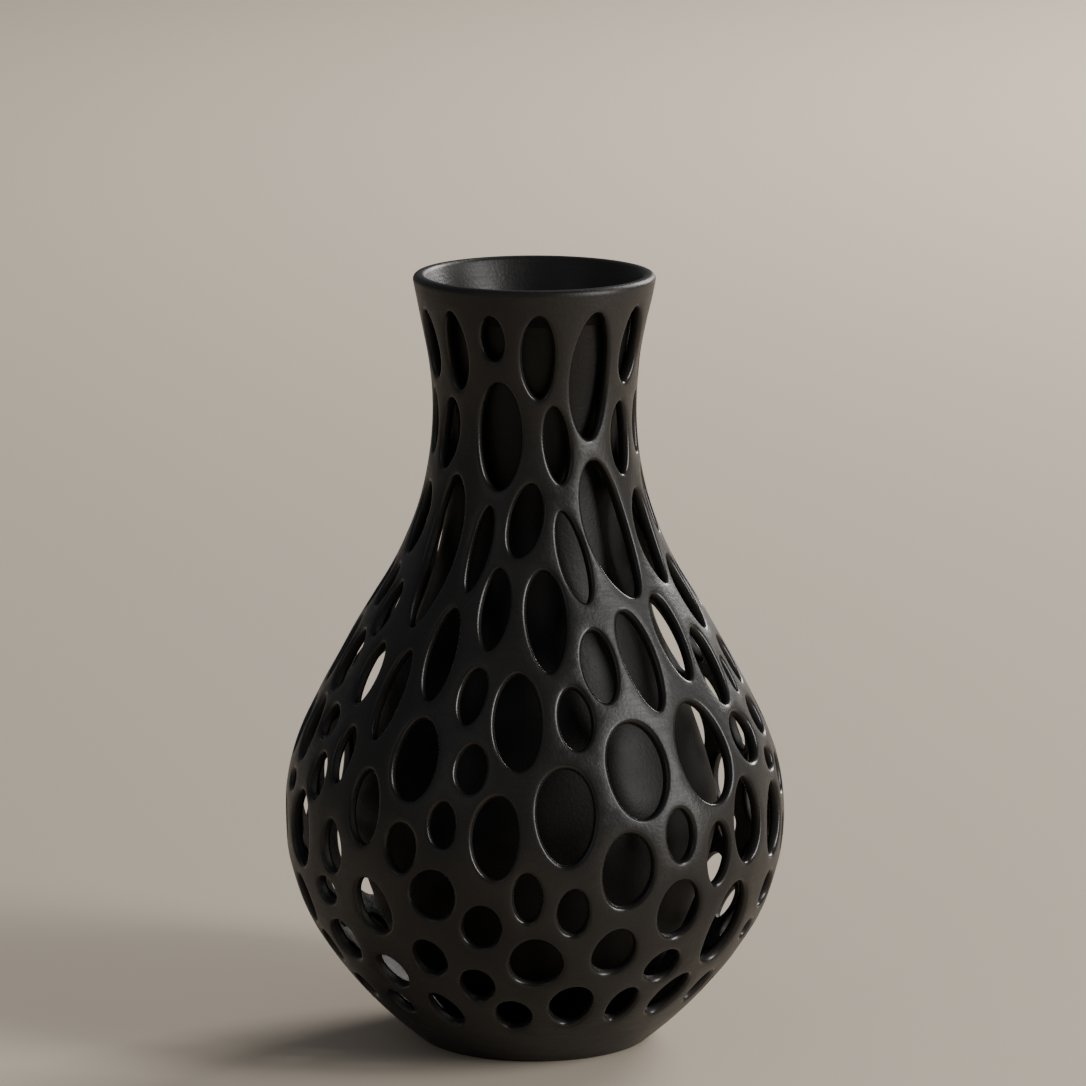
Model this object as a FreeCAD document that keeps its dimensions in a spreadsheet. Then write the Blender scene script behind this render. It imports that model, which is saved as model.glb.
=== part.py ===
"""Double-walled openwork vase in burnished black clay.

The potter throws a plain inner vessel, builds an outer wall round it in courses,
closes the two with a rim ring at the mouth and a foot at the base, and then cuts
the oval openings through the outer wall with a blade while the clay is still soft.
The parts are luted: their bevelled edges are scored, wetted with slip and pressed
together, so each joint here is a conical face that two parts share.

Origin: centre of the foot's underside.  +Z is up, and -Y is the vase's front.
All sizes are in millimetres and degrees.
"""
import FreeCAD, Part
import math
import os

import Sketcher

V = FreeCAD.Vector

# Driving dimensions.  A shell's meridian is five tangent runs, from its foot up: foot arc,
# belly arc, shoulder arc, hollow neck arc and a straight flare.  The "wall_" sizes give the
# outer wall's outer face and the "vessel_" sizes give the inner vessel's outer face.
SIZES = {
    "height": 300.0,
    "wall_base": 0.0,
    "wall_foot_radius": 45.0,
    "wall_foot_arc": 181.0,
    "wall_belly_radius": 97.25,
    "wall_belly_height": 88.9,
    "wall_belly_arc": 88.0,
    "wall_shoulder_arc": 548.0,
    "wall_neck_radius": 39.4,
    "wall_neck_height": 247.8,
    "wall_neck_arc": 126.7,
    "wall_flare": 11.0,
    "wall_thickness": 4.6,
    "wall_floor": 6.0,
    "vessel_base": 6.0,
    "vessel_foot_radius": 31.5,
    "vessel_foot_arc": 151.5,
    "vessel_belly_radius": 71.3,
    "vessel_belly_height": 91.2,
    "vessel_belly_arc": 36.0,
    "vessel_shoulder_arc": 342.0,
    "vessel_neck_radius": 32.5,
    "vessel_neck_height": 233.0,
    "vessel_neck_arc": 175.0,
    "vessel_flare": 9.5,
    "vessel_thickness": 2.9,
    "vessel_floor": 4.5,
    "lip_thickness": 4.8,
    "lip_round": 2.1,
    "edge_softening": 0.8,
    "foot_joint_radius": 61.0,
    "foot_joint_height": 15.0,
    "belly_joint_radius": 95.0,
    "belly_joint_height": 88.9,
    "shoulder_joint_radius": 56.5,
    "shoulder_joint_height": 180.0,
    "rim_joint_height": 292.5,
    "rim_tongue_radius": 39.1,
    "rim_bore_radius": 35.9,
    "vessel_top_height": 285.0,
    "vessel_joint_radius": 57.0,
    "vessel_joint_height": 136.0,
    "joint_bevel": 35.0,
}

# The openings, as the potter sets them out on one half of the wall.  Each is an oval:
# bearing from the front (degrees, positive to the right), distance up the wall from the
# foot's edge, width as an angle about the axis, length up the wall, and lean (degrees,
# positive where the top leans left).  The other half repeats the same chart.  The sizes are
# across an opening's softened edge; the blade cuts the narrower throat inside that edge.
CHART = [
    # row under the rim
    (-69, 306, 18, 28, 0), (-45.5, 305.5, 17, 32, 0), (-22, 311.5, 14.5, 19, 0),
    (2, 304.5, 20, 34, 0), (32, 296.5, 25.5, 51, 0), (61, 306.5, 20, 31, 0), (86.5, 306, 17, 30, 0),
    # neck
    (-76, 275, 13, 26, 0), (-56, 272.5, 18.5, 29, -10), (-20, 273.5, 28, 42, 0),
    (12.8, 270.5, 16.6, 30.5, 6), (56.5, 270.5, 18, 29, 0), (80.5, 274, 16, 25, 0),
    (-73, 237.5, 17, 30, 0), (-47, 227, 20, 62, 0), (-25.8, 230.3, 11, 35, -6),
    (-4.6, 242, 18.5, 29.5, -12), (17.6, 227.5, 14.2, 37.5, 9), (38.4, 236.5, 26.5, 56, 8),
    (65, 231, 17.5, 39, -4), (85, 243, 13, 28, 0),
    # shoulder
    (-88.5, 207, 9, 24, 0), (-76.5, 208.5, 9.5, 20, 0), (-65.3, 200.5, 10.5, 25, 0),
    (-31.2, 187.8, 11.4, 39, 0), (-15, 207.3, 12.5, 34, 0), (4.3, 203.2, 15.8, 42, 2),
    (20.5, 184.3, 11.8, 30.5, 2), (35.2, 185, 12.6, 42, 4), (51.6, 191.5, 13, 37, -2),
    (64.4, 176, 12.6, 33.5, -5), (77, 205.5, 14.5, 33, -8), (74.3, 169.5, 4.2, 16, 0),
    (84, 173.5, 10, 22, 0), (-85.5, 178, 8, 30, 0), (-73.8, 176, 12.6, 28, 0),
    (-57.3, 175, 9, 27, 0), (-44.4, 169, 8.8, 38, -3), (-18, 172.8, 9, 24, -6),
    (-4.5, 163.3, 14, 39.5, 3), (11.2, 164.3, 10.4, 26, 2),
    # belly
    (26, 143, 16.5, 39, 0), (47, 145.3, 18, 42, 0), (65.7, 146, 12.6, 22, 0),
    (80, 150, 9, 17.5, 0), (-66.5, 152, 9.2, 15.5, 0), (-54.3, 142.5, 7.4, 24, 0),
    (-76.5, 146, 9, 28, 8), (-87.5, 144, 8.6, 26, 4), (-62.6, 131, 8, 20, 0),
    (-30.8, 146, 13.2, 34, 0), (-15.6, 144.5, 9, 20.5, 0), (-42.9, 124.8, 9.8, 30.5, 3),
    (-21.4, 122.4, 7.5, 19, 0), (-8.9, 118.7, 11.8, 33.5, -3), (7.3, 127, 14.5, 39, 0),
    (35.2, 116, 8.3, 22, 0), (21.7, 104.5, 13.2, 31, -5), (-31.6, 112, 8.8, 20.5, 0),
    (46.5, 106, 8, 26, -3), (58, 115.3, 12, 34.5, -4), (73, 110.5, 11.6, 30.5, -12),
    (76.5, 133, 7, 10.5, 0), (84.5, 124, 8, 18, 0), (83, 101, 5.5, 17, 0),
    (-53.3, 106.5, 8, 22, 3), (-69, 108, 12.5, 31.5, 0), (-78.2, 124, 6.5, 9.5, 0),
    (-86, 106, 11.5, 21, 0),
    # bowl
    (-23.8, 94.7, 12, 21.5, -20), (-12.4, 82.5, 10.3, 20, -12), (-1.5, 95.3, 7.5, 21.5, 0),
    (9, 89, 8.2, 21, 0), (0.4, 66.3, 14.3, 24.5, 0), (20, 70, 12, 23, -8), (35.8, 86, 12.8, 26, 0),
    (54.2, 74, 14.4, 37.5, -6), (35.4, 59.8, 11.5, 17.5, -25), (73, 82, 9, 16, 0),
    (84, 80.5, 8, 19, 0), (68.5, 66, 6, 10, 0), (77.5, 58, 10, 18, 0), (89.5, 60, 9, 19, 0),
    (-57, 87.5, 8.4, 12.5, 0), (-40.7, 86, 11, 24.5, 14), (-27.2, 65.8, 10.2, 19, 0),
    (-15.6, 53.2, 10.4, 20, -8), (-41.5, 55, 11, 18.5, 0), (-55.7, 66, 11.5, 20, -10),
    (-73, 78, 10, 22, 0), (-85, 80, 9, 18, 0), (-79.5, 53, 9, 16, 0), (-69, 58, 9, 16, 0),
    # row above the foot
    (-80, 34, 9, 12, 0), (-64, 39, 10, 13, 0), (-47, 35.5, 10.5, 15, 0), (-28.8, 36, 11, 21.5, 10),
    (-6.5, 35.6, 12.2, 20.5, 0), (11, 41.2, 14, 25.5, 0), (27.3, 39.8, 10.2, 22, -5),
    (44.3, 41, 12.8, 25, -14), (60, 40, 9, 18, -10), (73, 37, 10, 14, 0), (87, 38, 10, 16, 0),
]
REPEATS = 2

# a height difference that counts as none
FLAT = 1e-3

# how far outside the wall a blade starts, and how deep it goes in wall thicknesses
BLADE_START = 4.0
BLADE_DEPTH = 2.0

doc = FreeCAD.newDocument("openwork_vase")
sheet = doc.addObject("Spreadsheet::Sheet", "Sizes")
for row, (alias, value) in enumerate(SIZES.items(), start=1):
    sheet.set("A%d" % row, alias)
    sheet.set("B%d" % row, str(value))
    sheet.setAlias("B%d" % row, alias)
doc.recompute()


def size(alias):
    """A size as the sheet holds it."""
    return float(sheet.get(alias))


def body_with_sketch(name):
    """A body with one empty sketch on its own XZ plane: sketch x is radius, sketch y is height."""
    body = doc.addObject("PartDesign::Body", name)
    sketch = body.newObject("Sketcher::SketchObject", name + "_outline")
    plane = next(part for part in body.Origin.OriginFeatures if part.Role == "XZ_Plane")
    sketch.AttachmentSupport = [(plane, "")]
    sketch.MapMode = "FlatFace"
    return body, sketch


def turn(body, sketch):
    """Revolve the sketch once about the vase's axis."""
    revolution = body.newObject("PartDesign::Revolution", body.Name + "_turned")
    revolution.Profile = sketch
    revolution.ReferenceAxis = (sketch, ["V_Axis"])
    revolution.Angle = 360.0
    doc.recompute()
    return revolution


def bind(sketch, kind, expression, *where):
    """Add a measured constraint and tie it to the sheet."""
    value = float(sketch.evalExpression(expression))
    if kind == "Angle":
        value = math.radians(value)
    index = sketch.addConstraint(Sketcher.Constraint(kind, *where, value))
    sketch.setExpression("Constraints[%d]" % index, expression)
    return index


def meeting(centre_a, reach_a, centre_b, reach_b, side):
    """A point at given distances from two centres, on the chosen side of the line between them."""
    apart = centre_b - centre_a
    gap = apart.Length
    along = (gap ** 2 + reach_a ** 2 - reach_b ** 2) / (2 * gap)
    off = math.sqrt(reach_a ** 2 - along ** 2)
    unit = apart / gap
    return centre_a + unit * along + V(-unit.y, unit.x, 0) * off * side


def bearing(centre, point):
    """Angle of the ray from centre to point."""
    return math.atan2(point.y - centre.y, point.x - centre.x)


def shell_runs(kind, thickness):
    """Start geometry for the five runs of one face of a shell, set in from the outer face."""
    belly = V(size(kind + "_belly_radius") - size(kind + "_belly_arc"), size(kind + "_belly_height"), 0)
    neck = V(size(kind + "_neck_radius") + size(kind + "_neck_arc"), size(kind + "_neck_height"), 0)
    belly_arc = size(kind + "_belly_arc")
    neck_arc = size(kind + "_neck_arc")
    foot_arc = size(kind + "_foot_arc")
    shoulder_arc = size(kind + "_shoulder_arc")
    heel = V(size(kind + "_foot_radius"), size(kind + "_base"), 0)
    foot = meeting(belly, foot_arc - belly_arc, heel, foot_arc, -1)
    shoulder = meeting(belly, shoulder_arc - belly_arc, neck, shoulder_arc + neck_arc, 1)
    flare = math.radians(size(kind + "_flare"))
    start = bearing(foot, heel)
    low = bearing(foot, belly)
    high = bearing(shoulder, belly)
    into_neck = bearing(shoulder, neck)
    axis = V(0, 0, 1)
    throat = neck + V(-math.cos(flare), math.sin(flare), 0) * (neck_arc + thickness)
    rise = (size("height") - throat.y) / math.cos(flare)
    brim = throat + V(math.sin(flare), math.cos(flare), 0) * rise
    return [
        Part.ArcOfCircle(Part.Circle(foot, axis, foot_arc - thickness), start, low),
        Part.ArcOfCircle(Part.Circle(belly, axis, belly_arc - thickness), low, high),
        Part.ArcOfCircle(Part.Circle(shoulder, axis, shoulder_arc - thickness), high, into_neck),
        Part.ArcOfCircle(Part.Circle(neck, axis, neck_arc + thickness), math.pi - flare, into_neck + math.pi),
        Part.LineSegment(throat, brim),
    ]


def clay_shell(kind, label):
    """A whole turned shell with its floor, drawn as the outline of its wall."""
    body, sketch = body_with_sketch(label)
    outer = sketch.addGeometry(shell_runs(kind, 0.0), False)
    inner = sketch.addGeometry(shell_runs(kind, size(kind + "_thickness")), False)
    heel = sketch.Geometry[outer[0]].StartPoint
    inside_heel = sketch.Geometry[inner[0]].StartPoint
    top = sketch.addGeometry(
        Part.LineSegment(sketch.Geometry[outer[4]].EndPoint, sketch.Geometry[inner[4]].EndPoint), False)
    floor_height = size(kind + "_base") + size(kind + "_floor")
    floor = sketch.addGeometry(Part.LineSegment(V(inside_heel.x, floor_height, 0), V(0, floor_height, 0)), False)
    middle = sketch.addGeometry(Part.LineSegment(V(0, floor_height, 0), V(0, heel.y, 0)), False)
    base = sketch.addGeometry(Part.LineSegment(V(0, heel.y, 0), heel), False)

    link = Sketcher.Constraint
    for face in (outer, inner):
        foot, belly, shoulder, neck, flare = face
        sketch.addConstraint(link("Tangent", foot, 2, belly, 1))
        sketch.addConstraint(link("Tangent", belly, 2, shoulder, 1))
        sketch.addConstraint(link("Tangent", shoulder, 2, neck, 2))
        sketch.addConstraint(link("Tangent", neck, 1, flare, 1))
    for outside, inside in zip(outer[:4], inner[:4]):
        sketch.addConstraint(link("Coincident", outside, 3, inside, 3))
    sketch.addConstraint([
        link("Parallel", outer[4], inner[4]),
        link("Coincident", outer[4], 2, top, 1),
        link("Coincident", top, 2, inner[4], 2),
        link("Horizontal", top),
        link("Coincident", inner[0], 1, floor, 1),
        link("Horizontal", floor),
        link("PointOnObject", floor, 2, -2),
        link("Coincident", floor, 2, middle, 1),
        link("Vertical", middle),
        link("Coincident", middle, 2, base, 1),
        link("Horizontal", base),
        link("Coincident", base, 2, outer[0], 1),
    ])
    sizes = "Sizes." + kind
    foot, belly, shoulder, neck, flare = outer
    bind(sketch, "Radius", sizes + "_foot_arc", foot)
    bind(sketch, "Radius", sizes + "_belly_arc", belly)
    bind(sketch, "Radius", sizes + "_shoulder_arc", shoulder)
    bind(sketch, "Radius", sizes + "_neck_arc", neck)
    bind(sketch, "Radius", sizes + "_belly_arc - " + sizes + "_thickness", inner[1])
    bind(sketch, "DistanceX", sizes + "_belly_radius - " + sizes + "_belly_arc", belly, 3)
    bind(sketch, "DistanceY", sizes + "_belly_height", belly, 3)
    bind(sketch, "DistanceX", sizes + "_neck_radius + " + sizes + "_neck_arc", neck, 3)
    bind(sketch, "DistanceY", sizes + "_neck_height", neck, 3)
    bind(sketch, "DistanceX", sizes + "_foot_radius", foot, 1)
    bind(sketch, "DistanceY", sizes + "_base", foot, 1)
    bind(sketch, "DistanceY", sizes + "_base + " + sizes + "_floor", floor, 2)
    bind(sketch, "DistanceY", "Sizes.height", flare, 2)
    bind(sketch, "Angle", "(90 - " + sizes + "_flare) * 1deg", flare)
    brim = sketch.addConstraint(link("DistanceX", flare, 2, sketch.Geometry[flare].EndPoint.x))
    sketch.setDriving(brim, False)
    sketch.renameConstraint(brim, "brim_radius")
    turn(body, sketch)
    return body, [sketch.Geometry[run] for run in outer]


def on_wall(up):
    """Point and climbing direction on the wall's meridian, a distance up from the foot's edge."""
    for run in wall_runs:
        edge = run.toShape()
        if up <= edge.Length or run is wall_runs[-1]:
            break
        up -= edge.Length
    climbs = edge.valueAt(edge.FirstParameter).y < edge.valueAt(edge.LastParameter).y
    parameter = edge.getParameterByLength(up if climbs else edge.Length - up)
    return edge.valueAt(parameter), edge.tangentAt(parameter) * (1 if climbs else -1)


def blade(bearing_angle, up, width, length, lean):
    """The oval plug of clay that one opening takes out, square to the wall at its middle."""
    point, climb = on_wall(up)
    half_width = point.x * math.sin(math.radians(width / 2)) - size("edge_softening")
    half_length = length / 2 - size("edge_softening")
    upright = half_length >= half_width
    oval = Part.Ellipse(V(0, 0, 0), max(half_width, half_length), min(half_width, half_length))
    face = Part.Face(Part.Wire(oval.toShape()))
    face.rotate(V(0, 0, 0), V(0, 0, 1), lean + (90 if upright else 0))
    face.translate(V(0, 0, BLADE_START))
    plug = face.extrude(V(0, 0, -BLADE_START - BLADE_DEPTH * size("wall_thickness")))
    turn_angle = math.radians(bearing_angle)
    east = V(math.cos(turn_angle), math.sin(turn_angle), 0)
    out = V(math.sin(turn_angle), -math.cos(turn_angle), 0)
    rise = out * climb.x + V(0, 0, climb.y)
    normal = out * climb.y - V(0, 0, climb.x)
    place = out * point.x + V(0, 0, point.y)
    matrix = FreeCAD.Matrix(east.x, rise.x, normal.x, place.x, east.y, rise.y, normal.y, place.y,
                            east.z, rise.z, normal.z, place.z, 0, 0, 0, 1)
    plug.Placement = FreeCAD.Placement(matrix)
    return plug


def beyond(name, slope):
    """The space above a joint's cone that rises outwards (slope 1), or below one that falls (slope -1)."""
    cone = doc.addObject("Part::Cone", name)
    reach = "Sizes.height / tan(Sizes.joint_bevel * 1deg)"
    drop = "Sizes.%s_radius * tan(Sizes.joint_bevel * 1deg)" % name
    cone.setExpression("Height", "Sizes.height")
    if slope > 0:
        cone.Radius1 = 0
        cone.setExpression("Radius2", reach)
        cone.setExpression("Placement.Base.z", "Sizes.%s_height - %s" % (name, drop))
    else:
        cone.setExpression("Radius1", reach)
        cone.Radius2 = 0
        cone.setExpression("Placement.Base.z", "Sizes.%s_height + %s - Sizes.height" % (name, drop))
    return cone


def over(name, level):
    """The space above a level joint."""
    drum = doc.addObject("Part::Cylinder", name)
    drum.setExpression("Radius", "Sizes.wall_belly_radius")
    drum.setExpression("Height", "Sizes.height")
    drum.setExpression("Placement.Base.z", level)
    return drum


def combine(kind, name, base, tool):
    """A Part boolean of two objects."""
    result = doc.addObject("Part::" + kind, name)
    result.Base = base
    result.Tool = tool
    return result


def make_rim_ring():
    """The ring that seats on both walls, with a tongue down between them, and forms the rounded lip."""
    body, sketch = body_with_sketch("rim_ring")
    brim = wall_runs[4].EndPoint
    joint = size("rim_joint_height")
    seat = brim.x - (brim.y - joint) * math.tan(math.radians(size("wall_flare")))
    low = size("vessel_top_height")
    tongue_radius = size("rim_tongue_radius")
    corners = [
        V(seat, joint, 0),
        brim,
        V(brim.x - size("lip_thickness"), brim.y, 0),
        V(size("rim_bore_radius"), low, 0),
        V(tongue_radius, low, 0),
        V(tongue_radius + (joint - low) * math.tan(math.radians(size("wall_flare"))), joint, 0),
    ]
    sides = [Part.LineSegment(start, end) for start, end in zip(corners, corners[1:] + corners[:1])]
    outer, lip, bore, foot, tongue, bed = lines = sketch.addGeometry(sides, False)
    for side, after in zip(lines, lines[1:] + lines[:1]):
        sketch.addConstraint(Sketcher.Constraint("Coincident", side, 2, after, 1))
    for level in (lip, foot, bed):
        sketch.addConstraint(Sketcher.Constraint("Horizontal", level))
    sketch.addConstraint(Sketcher.Constraint("Parallel", outer, tongue))
    bind(sketch, "DistanceY", "Sizes.rim_joint_height", outer, 1)
    bind(sketch, "DistanceY", "Sizes.height", outer, 2)
    bind(sketch, "DistanceX", "wall_shell_outline.Constraints.brim_radius", outer, 2)
    bind(sketch, "Angle", "(90 - Sizes.wall_flare) * 1deg", outer)
    bind(sketch, "DistanceX", "wall_shell_outline.Constraints.brim_radius - Sizes.lip_thickness * 1mm", lip, 2)
    bind(sketch, "DistanceX", "Sizes.rim_bore_radius", bore, 2)
    bind(sketch, "DistanceY", "Sizes.vessel_top_height", bore, 2)
    bind(sketch, "DistanceX", "Sizes.rim_tongue_radius", tongue, 1)
    turned = turn(body, sketch)
    lip_edges = [
        "Edge%d" % number
        for number, edge in enumerate(turned.Shape.Edges, start=1)
        if edge.BoundBox.ZLength < FLAT and abs(edge.BoundBox.ZMax - size("height")) < FLAT
    ]
    fillet = body.newObject("PartDesign::Fillet", "lip_rounding")
    fillet.Base = (turned, lip_edges)
    fillet.setExpression("Radius", "Sizes.lip_round")
    doc.recompute()
    return body


def check_and_export():
    """Stop on any failed object or unsound shape, then write one STEP file for each clay part."""
    for item in doc.Objects:
        if "Invalid" in item.State or "Error" in item.State:
            raise RuntimeError("%s failed: %s" % (item.Name, item.State))
    os.makedirs("parts", exist_ok=True)
    for part in PARTS:
        part.Label = part.Name
        shape = part.Shape
        if shape.isNull() or not shape.isValid() or len(shape.Solids) != 1:
            raise RuntimeError("%s is not one sound solid" % part.Label)
        shape.exportStep("parts/%s.step" % part.Label)
        print("%-15s %9.0f mm3" % (part.Label, shape.Volume))


# construction: the two whole shells, the openings and the joints that part the courses
wall, wall_runs = clay_shell("wall", "wall_shell")
vessel, _ = clay_shell("vessel", "vessel_shell")
openings = doc.addObject("Part::Feature", "openings")
openings.Shape = Part.makeCompound([
    blade(bearing_angle + half * 360 / REPEATS, up, width, length, lean)
    for half in range(REPEATS)
    for bearing_angle, up, width, length, lean in CHART
])
pierced = combine("Cut", "pierced_wall", wall, openings)
foot_joint = beyond("foot_joint", -1)
belly_joint = beyond("belly_joint", 1)
shoulder_joint = beyond("shoulder_joint", 1)
vessel_joint = beyond("vessel_joint", 1)
rim_joint = over("rim_joint", "Sizes.rim_joint_height")
vessel_top = over("vessel_top", "Sizes.vessel_top_height")

# the clay parts, from the table up
foot = combine("Common", "foot", wall, foot_joint)
outer_bowl_up = combine("Cut", "outer_wall_off_foot", pierced, foot_joint)
outer_bowl = combine("Cut", "outer_bowl", outer_bowl_up, belly_joint)
outer_shoulder_up = combine("Common", "outer_wall_above_belly", pierced, belly_joint)
outer_shoulder = combine("Cut", "outer_shoulder", outer_shoulder_up, shoulder_joint)
outer_neck_up = combine("Common", "outer_wall_above_shoulder", pierced, shoulder_joint)
outer_neck = combine("Cut", "outer_neck", outer_neck_up, rim_joint)
vessel_bowl = combine("Cut", "vessel_bowl", vessel, vessel_joint)
vessel_neck_up = combine("Common", "vessel_above_joint", vessel, vessel_joint)
vessel_neck = combine("Cut", "vessel_neck", vessel_neck_up, vessel_top)
rim_ring = make_rim_ring()

PARTS = [foot, vessel_bowl, vessel_neck, outer_bowl, outer_shoulder, outer_neck, rim_ring]
doc.recompute()
check_and_export()
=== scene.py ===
import math
import random

import bpy
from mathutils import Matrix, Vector, geometry


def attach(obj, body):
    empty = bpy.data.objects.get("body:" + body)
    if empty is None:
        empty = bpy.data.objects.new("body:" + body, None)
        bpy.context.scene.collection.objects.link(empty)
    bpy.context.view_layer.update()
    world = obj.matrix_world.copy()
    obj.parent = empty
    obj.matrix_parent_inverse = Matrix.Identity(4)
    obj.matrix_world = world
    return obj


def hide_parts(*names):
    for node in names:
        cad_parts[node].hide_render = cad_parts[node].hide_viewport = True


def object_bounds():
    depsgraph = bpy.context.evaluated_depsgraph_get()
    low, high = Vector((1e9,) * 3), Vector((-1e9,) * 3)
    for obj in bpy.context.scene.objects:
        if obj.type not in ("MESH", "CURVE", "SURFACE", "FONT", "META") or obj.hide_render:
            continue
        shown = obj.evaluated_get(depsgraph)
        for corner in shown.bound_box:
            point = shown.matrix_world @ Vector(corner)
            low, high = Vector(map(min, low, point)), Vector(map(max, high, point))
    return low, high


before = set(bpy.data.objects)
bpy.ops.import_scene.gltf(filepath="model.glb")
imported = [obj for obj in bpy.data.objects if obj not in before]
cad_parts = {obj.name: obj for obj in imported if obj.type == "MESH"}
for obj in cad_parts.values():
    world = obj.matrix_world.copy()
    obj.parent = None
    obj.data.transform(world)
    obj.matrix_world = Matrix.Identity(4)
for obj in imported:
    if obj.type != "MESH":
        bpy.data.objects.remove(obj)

bl_info = {
    "name": "Openwork Black Clay Vase",
    "version": (1, 0, 0),
    "blender": (4, 5, 0),
    "location": "3D View > Sidebar > Vase",
    "description": "A double-walled vase of burnished black clay, its outer wall cut all over with ovals",
    "category": "Add Mesh",
}

MM = 0.001
TAU = 2 * math.pi
CAD_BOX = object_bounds()
HEIGHT = CAD_BOX[1][2]
BELLY_RADIUS = (CAD_BOX[1][0] - CAD_BOX[0][0]) / 2
SEED = 7

# turned forms: faces round, spacing of the points along a section, finer spacing for the outer wall's own
# line, room left on each side of the rim ring's tongue, breadth of the hand's unevenness, how near points
# are to count as one, and how near an edge is to an arris to be it
STEPS_ROUND = 240
MERIDIAN_STEP = 2.4 * MM
MERIDIAN_FINE = 0.8 * MM
TONGUE_PLAY = 0.3 * MM
HAND_PLAY_SPAN = 55 * MM
JOIN = 0.02 * MM
SEAM = 0.7 * MM

# the clay's patterns, by the size of one patch: smoke, cloudiness, dents, the burnishing stone's strokes
# (length and breadth), pebbled skin and grain
SMOKE_PATCH = 24 * MM
CLOUD_PATCH = 1.8 * MM
DENT_SPAN = 9 * MM
STROKE_LENGTH = 18 * MM
STROKE_BREADTH = 0.9 * MM
PEBBLE_SIZE = 1.3 * MM
GRAIN_SIZE = 0.35 * MM

# the studio's soft lights: name, watts, breadth and height (m), place (m), what it is turned to (m), tint
LIGHTS = [
    ("Key, right", 38.0, 0.5, 1.7, (1.8, -0.8, 0.95), (0, 0, 0.15), (1.0, 0.985, 0.96)),
    ("Fill, left front", 1.0, 0.9, 0.9, (-1.2, -1.3, 0.9), (0, 0, 0.15), (0.96, 0.98, 1.0)),
    ("Backdrop, right", 140.0, 1.6, 1.6, (2.1, 3.0, 1.8), (0.9, 2.2, 0.0), (1.0, 0.97, 0.93)),
]
WORLD_TINT = (0.93, 0.95, 1.0)
WORLD_STRENGTH = 0.15

# the floor's reach from the vase (m) and its roughness, and the camera: place (m), how far it looks down
# (degrees), width of its sensor and its lens (mm)
FLOOR_REACH = 12.0
FLOOR_ROUGHNESS = 0.9
CAMERA_PLACE = (0.0033, -2.4, 0.6732)
CAMERA_DOWN = 11.277
CAMERA_SENSOR = 36
CAMERA_LENS = 210.3

# how the openwork is meshed: faces round an opening for small, middling and large ones, the half
# lengths and widths together that part those grades (mm), faces across a rounded edge, spacing of the
# points between openings (mm), how near they come to an opening's edge in spacings, their unevenness,
# its waves in half a turn (across and up) and its shift from row to row, the share of the clay beside an
# opening that its softened edge may take, how far round it that clay is looked for (mm), how far points
# are made beyond the half (degrees), an oval's own wavering and how much wider one end may be, the
# tolerance of the flat web's triangles, the steps of the even measure, and what each opening's point carries
GRADE_STEPS = (32, 48, 64)
GRADE_LIMITS = (17, 27)
EDGE_STEPS = 3
WEB_STEP = 3.0
KEEP_OFF = 0.55
UNEVEN = 0.12
UNEVEN_WAVES = (11, 7)
UNEVEN_SHIFT = 1.7
EDGE_ROOM = 0.36
ROOM_LOOKED_FOR = 3.0
SEAM_MARGIN = 25
WANDER = 0.012
EGG_PLAY = 0.03
FLAT_TOLERANCE = 1e-7
MERIDIAN_RUNGS = 600
OPENING_SIZES = ("half_width", "half_length", "lean", "egg", "wander", "edge", "grade")

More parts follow.
